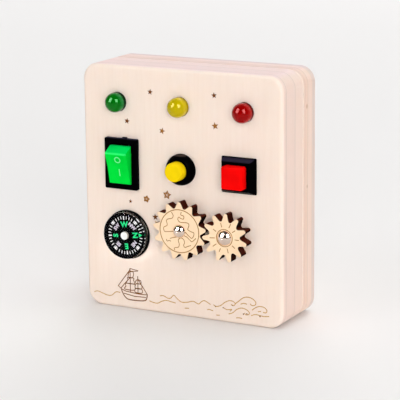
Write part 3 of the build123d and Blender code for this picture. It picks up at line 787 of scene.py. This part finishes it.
# winding lines on the large gear, from its centre
WINDINGS = (
    (
        (-3.5, 7.5), (-2.7, 6.2), (-3.3, 5.0), (-5.1, 4.5), (-5.8, 3.8), (-5.5, 2.5), (-5.7, 1.7),
        (-7.0, 1.0), (-7.1, -0.1), (-6.3, -0.8), (-2.5, -0.3),
    ),
    (
        (1.0, 8.0), (0.8, 6.8), (2.1, 6.4), (1.9, 5.2), (0.8, 5.3), (-0.2, 5.8), (-0.6, 4.9),
        (-0.2, 4.1), (0.9, 3.7), (3.4, 3.8), (4.3, 3.4), (4.3, 2.4), (3.9, 1.1), (5.2, 0.4),
        (6.5, 0.0), (6.5, -1.2), (5.6, -2.3), (4.5, -1.7), (3.0, -0.4), (1.8, 0.4),
    ),
    (
        (-2.1, -8.1), (-2.3, -7.1), (-0.5, -6.6), (-0.1, -5.3), (-0.5, -3.8), (0.5, -2.7),
        (1.8, -3.1), (2.3, -4.4), (1.9, -5.6), (2.5, -6.4), (3.6, -5.9), (5.2, -5.3),
    ),
    ((-6.0, -3.9), (-5.6, -4.6), (-4.5, -4.3), (-3.9, -4.6)),
    ((-4.3, -3.4), (-2.8, -2.9), (-1.2, -2.5)),
    ((2.2, -1.6), (3.3, -2.0), (4.8, -3.2), (5.6, -3.7), (6.7, -2.9), (7.5, -2.1)),
)

# short burnt rays on the small gear: direction in degrees, inner and outer end
RAYS = (
    (-2.5, 4.5, 6.4),
    (-38.6, 4.3, 5.9),
    (-74.0, 4.3, 6.2),
    (-112.0, 4.7, 6.3),
    (-143.0, 4.5, 6.5),
    (-175.0, 4.3, 6.6),
    (147.5, 4.3, 5.9),
    (105.0, 4.4, 6.2),
    (65.0, 4.8, 6.6),
    (36.5, 4.3, 6.0),
)

# ---------------------------------------------------------------- operators


class BUSYBOARD_OT_body(bpy.types.Operator):
    """Sanded, glued wooden layers of the body"""

    bl_idname = "busyboard.body"
    bl_label = "Wooden Body"

    def execute(self, context):
        tones = settings("wood")
        seams = (-12.0, -4.0, 12.0)
        rear_seams = (*seams, 8.0)
        # two small ones on the right side
        knots = (
            ((0.045, 0.0070, 0.0865), (0.004, 0.0010, 0.0014)),
            ((0.045, 0.0075, 0.0540), (0.004, 0.0009, 0.0012)),
        )
        # painted shade and light on the sides of the front half, by depth
        front_painted_bands = (
            (-14.0, -4.0, (1.0, 0.955, 0.965)),
            (-4.0, 4.0, (1.02, 0.975, 0.975)),
        )
        # painted shade and light on the sides of the rear half, by depth, darkest in the groove behind
        # the seam at 4 mm
        rear_painted_bands = (
            (3.5, 5.6, (0.89, 0.82, 0.80)),
            (5.6, 8.0, (0.97, 0.90, 0.86)),
            (8.0, 12.0, (1.02, 0.965, 0.95)),
            (12.5, 15.5, (0.873, 0.858, 0.893)),
        )
        pale, grain = tones.panel, tones.panel_grain
        panel = wood("sanded_panel", pale, grain, seams, bands=front_painted_bands)
        rear = wood("sanded_rear", pale, grain, rear_seams, knots=knots, bands=rear_painted_bands)
        for name in ("front_panel", "front_frame", "middle_frame"):
            dress(name, panel)
        for name in ("rear_frame", "back_panel"):
            dress(name, rear)
        dress("cover_screws", metal("zinc_screw", (0.62, 0.62, 0.60), 0.3))
        return {"FINISHED"}


class BUSYBOARD_OT_lamps(bpy.types.Operator):
    """Round tinted lenses of the three lamps"""

    bl_idname = "busyboard.lamps"
    bl_label = "Lamps"

    def execute(self, context):
        tints = settings("lamps")
        for colour, centre in LAMPS.items():
            # painted shade darkens the side up to the brim, which is a little higher on the green lens
            brim =FACE_Y - (1.8 if colour == "green" else 1.4)
            outline = self.outline(brim, front(f"{colour}_led_lens"))
            mesh = lathe_mesh(f"{colour}_lens", outline, centre.x, centre.z, tints.segments)
            dome, glow, painted_foot_shade = [getattr(tints, colour + part) for part in ("", "_glow", "_foot")]
            tint = tinted_epoxy(f"{colour}_epoxy", dome, glow)
            lens = add_piece(f"{colour}_lens", mesh, tint, "board")
            # painted shade on the side of the lens
            mesh.materials.append(moulded(f"{colour}_lens_side", painted_foot_shade, 0.3, ior=1.08))
            for face in mesh.polygons:
                face.material_index = 1 if face.center.y > brim * MM else 0
            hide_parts(f"{colour}_led_lens")
        return {"FINISHED"}

    def outline(self, brim, tip):
        """Flange behind the panel, then the side up to the brim and the round dome to the tip."""
        radius, flange, chamfer = 4.0, 4.6, 0.1
        flange_back, flange_front = -10.2, -12.0
        points = [
            (0, flange_back),
            (flange - chamfer, flange_back),
            (flange, flange_back - chamfer),
            (flange, flange_front + chamfer),
            (flange - chamfer, flange_front),
            (radius, flange_front),
            (radius, brim),
        ]
        return points + arc((0, tip + radius), radius, 0, -90, 32)


class BUSYBOARD_OT_rocker(bpy.types.Operator):
    """Rocker switch: housing, rocker and its raised marks"""

    bl_idname = "busyboard.rocker"
    bl_label = "Rocker Switch"

    def execute(self, context):
        tones = settings("switches")
        # a painted highlight along the upper ridge, and painted light on the upper end
        upper_ridge = self.on_rocker(0, 6.55, 5.2) * MM
        ridge = (upper_ridge, tones.rocker_ridge_highlight)
        green = moulded(
            "green_rocker", tones.rocker, 0.35, ior=1.06, painted_upward_light=tones.rocker_painted_light, ridge=ridge
        )
        dress("rocker", green)
        # painted highlight on slopes of the housing that face up
        black = moulded("black_housing", tones.black, 0.32, ior=1.04, painted_upward_light=tones.black_top)
        dress("rocker_housing", black)
        # pale tops of the marks: a painted highlight
        self.marks(moulded("pale_mark", tones.mark, 0.3, ior=1.1))
        return {"FINISHED"}

    def marks(self, material):
        """Pale tops of the raised O and I, on the two halves of the rocker's face.

        Their pale colour is a painted highlight.
        """
        middle_x, width = 0.6, 0.5
        shapes = [
            stroke(arc((middle_x, 3.9), 1.2, 0, 352.5, 47), width, closed=True),
            stroke([(middle_x, -0.3), (middle_x, -3.3)], width),
        ]
        valley, ends, half_length = 4.9, 5.3, 6.7
        mark_height, paint = 0.15, 0.03

        def raised(x, rise, share):
            face = valley + (ends - valley) * abs(rise) / half_length
            return self.on_rocker(x, rise, face + mark_height + paint * share)

        points, faces = joined(shapes, raised)
        mesh = mesh_from("rocker_marks", points, faces)
        add_piece("rocker_marks", mesh, material, "rocker")

    def on_rocker(self, x, rise, out):
        """Point on the rocker, from its pivot: to the side, up along its face and out of it."""
        up = Vector((0, -sin(ROCKER_TILT), cos(ROCKER_TILT)))
        forward = Vector((0, -cos(ROCKER_TILT), -sin(ROCKER_TILT)))
        return ROCKER_PIVOT + Vector((x, 0, 0)) + up * rise + forward * out


class BUSYBOARD_OT_buttons(bpy.types.Operator):
    """Round and square push buttons"""

    bl_idname = "busyboard.buttons"
    bl_label = "Push Buttons"

    def execute(self, context):
        tones = settings("switches")
        # painted highlights on the upper rims of the bezels
        self.bezel("round", tones.bezel_painted_highlight, 0.6, 0.0, limits=(0.70, 0.90))
        self.bezel("square", tones.black_top, 1.4, 0.3)
        dress("round_button_cap", moulded("yellow_cap", tones.round_cap, 0.42, ior=1.06))
        dress("square_button_cap", moulded("red_cap", tones.square_cap, 0.42, ior=1.05))
        return {"FINISHED"}

    def bezel(self, shape, shine, lower, upper, **options):
        """Black bezel with a painted highlight between two depths below its top, in millimetres."""
        node_name = f"{shape}_button_housing"
        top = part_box(node_name)[1].z
        span = (top - lower * MM, top - upper * MM)
        black = settings("switches").black
        plastic = moulded(
            f"{shape}_bezel_black", black, 0.3, ior=1.04, painted_upward_light=shine, span=span, **options
        )
        dress(node_name, plastic)


class BUSYBOARD_OT_compass(bpy.types.Operator):
    """Button compass: case, clear capsule, card and its print"""

    bl_idname = "busyboard.compass"
    bl_label = "Compass"

    def execute(self, context):
        tones = settings("compass")
        dress("compass_case", moulded("compass_case_black", (0.0008, 0.0008, 0.0012), 0.2, ior=1.1))
        dress("compass_dial", moulded("card_ground", tones.card, 0.5, ior=1.05))
        # the cap's side colour is painted shade
        dress("compass_cap", white_enamel("white_cap", (0.97, 0.97, 0.97), (0.52, 0.44, 0.34)))
        dress("compass_magnet", metal("ferrite", (0.10, 0.10, 0.11), 0.5))
        dress("compass_pivot", metal("pivot_steel", (0.6, 0.6, 0.6), 0.25))
        self.capsule(tones.segments)
        self.ticks(tones)
        large = (("N", 90), ("E", 180), ("S", 270), ("W", 0))
        green = printed("letter_green", tones.letters)
        self.lettering("card_letters", large, 2.4, 0.045, 4.55, green)
        small = (("NE", 135), ("SE", 225), ("SW", 315), ("NW", 45))
        grey = printed("letter_grey", tones.small_letters)
        self.lettering("card_small_letters", small, 1.65, 0.05, 5.1, grey)
        self.pointer(tones)
        return {"FINISHED"}

    def capsule(self, segments):
        """Window and the liquid behind it, as one clear body."""
        back, shoulder = -13.75, -15.6
        bore, rim = 8.35, 9.7
        crown = front("compass_window")
        crown_radius, crown_rise = 8.9, 0.45
        edge_middle, edge_radius = (9.003, crown + 1.14), 0.698
        sphere = (crown_radius**2 + crown_rise**2) / (2 * crown_rise)
        outline = [(0, back), (bore, back), (bore, shoulder), (rim, shoulder - 0.02)]
        outline += arc(edge_middle, edge_radius, -3.3, -98.5, 8)
        for share in (0.85, 0.7, 0.55, 0.4, 0.25, 0.12, 0.0):
            radius = crown_radius * share
            outline.append((radius, crown + sphere - sqrt(sphere**2 - radius**2)))
        mesh = lathe_mesh("compass_capsule", outline, *COMPASS, segments)
        clear = clear_plastic("clear_window")
        piece = add_piece("compass_capsule", mesh, clear, "board")
        piece.visible_shadow = False
        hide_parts("compass_window")

    def ticks(self, tones):
        """A mark every ten degrees, and a wedge halfway between the large letters."""
        shapes = []
        outer = tones.ring_radius / MM
        for bearing in range(0, 360, 10):
            if bearing == POINTER_BEARING:
                continue
            width, length = (0.6, 1.6) if bearing % 90 == 0 else (0.36, 1.3)
            shapes.append(self.wedge(bearing, outer - length, outer, width * 0.8, width))
        for bearing in (45, 135, 225, 315):
            shapes.append(self.wedge(bearing, outer - 1.4, outer, 0.45, 0.95))
        self.print_on_card("card_ticks", shapes, printed("tick_white", tones.ticks))

    def wedge(self, bearing, inner, outer, inner_width, outer_width):
        """Mark that widens outwards."""
        along, across = self.directions(bearing)
        corners = []
        for reach, width in ((inner, inner_width), (outer, outer_width)):
            corners.append([along * reach + across * side * width / 2 for side in (-1, 1)])
        (a, b), (c, d) = corners
        return filled([a, b, d, c])

    def pointer(self, tones):
        """Arrowhead at the edge of the card, over the N."""
        along, across = self.directions(POINTER_BEARING)
        corners = ((7.9, 0), (6.15, -0.9), (6.15, 0.9))
        tip = [along * reach + across * side for reach, side in corners]
        self.print_on_card("card_pointer", [filled(tip)], printed("pointer_green", tones.letters))

    def directions(self, bearing):
        """Outwards and clockwise on the card, at a bearing."""
        turn = radians(bearing + CARD_TURN)
        return Vector((sin(turn), cos(turn))), Vector((cos(turn), -sin(turn)))

    def print_on_card(self, name, shapes, ink):
        relief(name, shapes, front("compass_dial"), PRINT_HEIGHT, ink, "compass_card", COMPASS)

    def lettering(self, name, texts, height, weight, radius, ink):
        """Letters round the card, their tops outwards, at a radius from its middle."""
        letters = []
        for text, bearing in texts:
            where = on_card(bearing, radius, front("compass_dial"))
            letters.append((letter_mesh(text, height, weight, 0.05), where))
        add_piece(name, combine(name, letters), ink, "compass_card")


class BUSYBOARD_OT_gears(bpy.types.Operator):
    """Laser-cut gears with charred walls and burnt line work, on bright posts"""

    bl_idname = "busyboard.gears"
    bl_label = "Gears"

    def execute(self, context):
        tones = settings("wood")
        cut = wood("cut_gear", tones.gear, tones.gear_grain, charred=tuple(tones.char))
        for name in GEARS:
            dress(name, cut)
        burn = printed("gear_line_burn", tones.gear_burn, 0.7)
        winding = [stroke(arc((0, 0), 8.8, 0, 355, 71), 0.42, closed=True)]
        winding += [stroke(flowing(line), 0.36) for line in WINDINGS]
        self.burn_lines("large_gear", winding, burn)
        sun = [stroke(arc((0, 0), 3.5, 0, 350, 35), 0.36, closed=True)]
        for bearing, inner, outer in RAYS:
            angle = radians(bearing)
            ends = [(reach * cos(angle), reach * sin(angle)) for reach in (inner, outer)]
            sun.append(stroke(ends, 0.38))
        self.burn_lines("small_gear", sun, burn)
        dress("gear_posts", metal("bright_post", (0.86, 0.70, 0.60), 0.08))
        dress("gear_washers", metal("zinc_washer", (0.6, 0.6, 0.58), 0.3))
        return {"FINISHED"}

    def burn_lines(self, gear, shapes, burn):
        """Lines burnt into the face of a gear, drawn from its centre."""
        height = settings("wood").line_height / MM
        relief(f"{gear}_lines", shapes, GEAR_FACE_Y, height, burn, gear, GEARS[gear])


class BUSYBOARD_OT_drawings(bpy.types.Operator):
    """Stars, sailing ship and sea burnt into the front"""

    bl_idname = "busyboard.drawings"
    bl_label = "Burnt Drawings"

    def execute(self, context):
        tones = settings("wood")
        between = tuple(0.6 * a + 0.4 * b for a, b in zip(tones.dark_burn, tones.brown_burn))
        dark = printed("deep_burn", tones.dark_burn, 0.7)
        faint = printed("faint_burn", tones.light_burn, 0.7)
        warm = printed("ship_burn", between, 0.7)
        brown = printed("brown_burn", tones.brown_burn, 0.7)
        self.burn("stars", [filled(star(*place)) for place in STARS], dark)
        half_burnt = [filled(star(*place)) for place in BROWN_STARS]
        half_burnt += [stroke(star(*place), 1.05, closed=True) for place in OPEN_STARS]
        self.burn("brown_stars", half_burnt, brown)
        self.burn("waves", [stroke(flowing(line), 0.42) for line in (*WAVES, LITTLE_ARC)], faint)
        self.burn("crests", [stroke(flowing(line), 0.42) for line in CRESTS], faint)
        spray = [filled(arc((x, z), radius, 0, 324, 9)) for x, z, radius in CREST_DOTS]
        self.burn("spray", spray, warm)
        ship = [stroke(flowing(HULL), 0.52)]
        ship += [stroke(line, 0.40) for line in SHIP_LINES]
        ship += [stroke(flowing(sail, 4, closed=True), 0.40, closed=True) for sail in SAILS]
        ship.append(stroke(flowing(PENNANT, 4, closed=True), 0.34, closed=True))
        self.burn("ship", ship, warm)
        return {"FINISHED"}

    def burn(self, name, shapes, material):
        relief(name, shapes, FACE_Y, settings("wood").line_height / MM, material, "board")


class BUSYBOARD_OT_works(bpy.types.Operator):
    """Switch works, battery holder, cells and wires behind the front"""

    bl_idname = "busyboard.works"
    bl_label = "Inner Works"

    def execute(self, context):
        finishes = {
            "black_plastic": moulded("black_fitting", (0.012, 0.012, 0.013), 0.4),
            "plain_steel": metal("zinc_plate", (0.60, 0.60, 0.58), 0.3),
            "spring_steel": metal("spring_wire", (0.52, 0.53, 0.55), 0.25),
            "brass": metal("bare_brass", (0.72, 0.52, 0.22), 0.28),
            "tinned_wire": metal("tinned_lead", (0.70, 0.70, 0.70), 0.3),
            "resistor_beige": moulded("resistor_lacquer", (0.62, 0.46, 0.27), 0.35),
            "cell_wrap": moulded("cell_jacket", (0.06, 0.22, 0.13), 0.25, ior=1.45),
            "tape_white": moulded("foam_tape", (0.82, 0.82, 0.80), 0.8),
            "wire_red": moulded("red_insulation", (0.60, 0.015, 0.015), 0.4),
            "wire_black": moulded("black_insulation", (0.015, 0.015, 0.015), 0.4),
            "holder_black": moulded("holder_plastic", (0.02, 0.02, 0.021), 0.45),
        }
        for part in frame["record"]["subparts"]:
            if part["material_slot"] in finishes:
                dress(part["node"], finishes[part["material_slot"]])
        for name in ("round_button", "square_button"):
            self.return_spring(name, finishes["spring_steel"])
        return {"FINISHED"}

    def return_spring(self, name, material):
        """Copy of the coil between the cap and the floor of its housing; the CAD one is hidden."""
        node = f"{name}_spring"
        mesh = frame["nodes"][node].data.copy()
        mesh.transform(frame["nodes"][node].matrix_world)
        piece = add_object(f"{name}_return_spring", mesh, material)
        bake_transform(piece)
        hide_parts(node)


class BUSYBOARD_OT_stage(bpy.types.Operator):
    """Pale floor, softboxes, surroundings and camera"""

    bl_idname = "busyboard.stage"
    bl_label = "Stage"

    def execute(self, context):
        values = settings("stage")
        scene = context.scene
        scene.view_settings.view_transform = "Standard"
        self.floor(values)
        self.surroundings(scene, values)
        left, right = (-0.471, -0.717, 0.514), (0.673, -0.532, 0.511)
        for name, direction, size, power in (
            ("key_softbox", left, (1.4, 2.0), values.key_power),
            ("side_softbox", (0.92, -0.12, 0.37), (1.4, 1.8), values.side_power),
            ("fill_softbox", (0.55, -0.80, 0.25), (1.6, 1.6), values.fill_power),
            ("top_softbox", (0.10, 0.12, 0.98), (1.8, 1.8), values.top_power),
            ("back_softbox", (-0.30, 0.85, 0.40), (1.8, 1.8), values.back_power),
        ):
            lamp = self.softbox(name, direction, size, power, distance=3.0)
            lamp.visible_glossy = lamp.visible_transmission = False
        for name, direction, size in (
            ("left_catchlight", left, (1.4, 2.1)),
            ("right_catchlight", right, (1.2, 1.9)),
        ):
            power = values.catchlight * pi * size[0] * size[1]
            lamp = self.softbox(name, direction, size, power, distance=2.6)
            lamp.visible_diffuse = lamp.visible_transmission = False
        self.camera(scene, values)
        return {"FINISHED"}

    def floor(self, values):
        """Round floor under the board, a little uneven in its colour."""
        finish = Finish("pale_floor", values.floor, 0.7, specular_ior_level=0.0)
        drift = finish.noise(3, detail=2)
        finish.set(base_color=finish.mix(drift, values.floor, scaled(values.floor, 0.985)))
        radius, sides = 5000.0, 64
        angles = [2 * pi * step / sides for step in range(sides)]
        outline = [(radius * cos(angle), radius * sin(angle), 0) for angle in angles]
        mesh = mesh_from("floor", outline, [list(range(sides))])
        add_object("floor", mesh, finish.material)

    def surroundings(self, scene, values):
        """Pale and even, but gloss mirrors an open, dark room in front."""
        world = bpy.data.worlds.new("pale_surroundings")
        world.use_nodes = True
        tree = world.node_tree
        direction = add_node(tree, "TexCoord", {}).outputs["Generated"]
        ahead = Vector((0.35, -0.90, 0.25)).normalized()
        inputs = {0: direction, 1: ahead}
        towards = add_node(tree, "VectorMath", inputs, operation="DOT_PRODUCT").outputs[1]
        inputs = {0: towards, 1: 0.25, 2: 0.60, 3: 0.5 * values.ambient, 4: 0.06}
        room = add_node(tree, "MapRange", inputs).outputs[0]
        ray = add_node(tree, "LightPath", {}).outputs
        # the camera sees the brighter backdrop, straight or through the clear window
        inputs = {0: ray["Diffuse Depth"], 3: ray["Is Transmission Ray"], 4: 0.0}
        through = add_node(tree, "MapRange", inputs).outputs[0]
        inputs = {0: ray["Is Camera Ray"], 1: through}
        seen = add_node(tree, "Math", inputs, operation="MAXIMUM").outputs[0]
        inputs = {0: seen, 3: values.ambient, 4: values.backdrop}
        strength = add_node(tree, "MapRange", inputs).outputs[0]
        inputs = {0: ray["Is Glossy Ray"], 3: strength, 4: room}
        strength = add_node(tree, "MapRange", inputs).outputs[0]
        background = tree.nodes["Background"]
        fill(tree, background.inputs["Color"], (1.0, 0.99, 0.98, 1.0))
        fill(tree, background.inputs["Strength"], strength)
        scene.world = world

    def softbox(self, name, direction, size, power, distance):
        """Rectangular light that looks at the board from a direction."""
        light = bpy.data.lights.new(name, "AREA")
        light.shape = "RECTANGLE"
        light.size, light.size_y = size
        light.energy = power
        lamp = bpy.data.objects.new(name, light)
        away = Vector(direction).normalized()
        board_middle = Vector((0, 0, 0.05))
        lamp.location = away * distance + board_middle
        lamp.rotation_mode = "QUATERNION"
        lamp.rotation_quaternion = away.to_track_quat("Z", "Y")
        bpy.context.scene.collection.objects.link(lamp)
        return lamp

    def camera(self, scene, values):
        """Looks at the front from its right and a little above, and leans by less than a degree."""
        data = bpy.data.cameras.new("camera")
        data.sensor_width = 36.0
        data.lens = values.focal_length
        data.clip_start = 0.01
        camera = bpy.data.objects.new("camera", data)
        spot = Vector((0.33589, -0.62861, 0.21182))
        right = Vector((0.88328, 0.46873, -0.00995))
        up = Vector((-0.09800, 0.20534, 0.97377))
        back = Vector((0.45848, -0.85914, 0.22731))
        turn = Matrix((right, up, back)).transposed()
        camera.matrix_world = Matrix.Translation(spot) @ turn.to_4x4()
        scene.collection.objects.link(camera)
        scene.camera = camera


OPERATORS = (
    BUSYBOARD_OT_works,
    BUSYBOARD_OT_body,
    BUSYBOARD_OT_lamps,
    BUSYBOARD_OT_rocker,
    BUSYBOARD_OT_buttons,
    BUSYBOARD_OT_compass,
    BUSYBOARD_OT_gears,
    BUSYBOARD_OT_drawings,
    BUSYBOARD_OT_stage,
)


class BUSYBOARD_PT_panel(bpy.types.Panel):
    """Lists the pieces of the busy board and their settings"""

    bl_idname = "BUSYBOARD_PT_panel"
    bl_label = "Busy Board"
    bl_space_type = "VIEW_3D"
    bl_region_type = "UI"
    bl_category = "Busy Board"

    def draw(self, context):
        for group_name, group in GROUPS.items():
            box = self.layout.box()
            box.label(text=group.__doc__)
            for value in group.__annotations__:
                box.prop(settings(group_name), value)
        for operator in OPERATORS:
            self.layout.operator(operator.bl_idname)


CLASSES = (*GROUPS.values(), BoardSettings, *OPERATORS, BUSYBOARD_PT_panel)


def register():
    for cls in CLASSES:
        bpy.utils.register_class(cls)
    bpy.types.Scene.busy_board = PointerProperty(type=BoardSettings)


def unregister():
    del bpy.types.Scene.busy_board
    for cls in reversed(CLASSES):
        bpy.utils.unregister_class(cls)


def main():
    register()
    for operator in OPERATORS:
        group, action = operator.bl_idname.split(".")
        getattr(getattr(bpy.ops, group), action)()


if __name__ == "__main__":
    main()
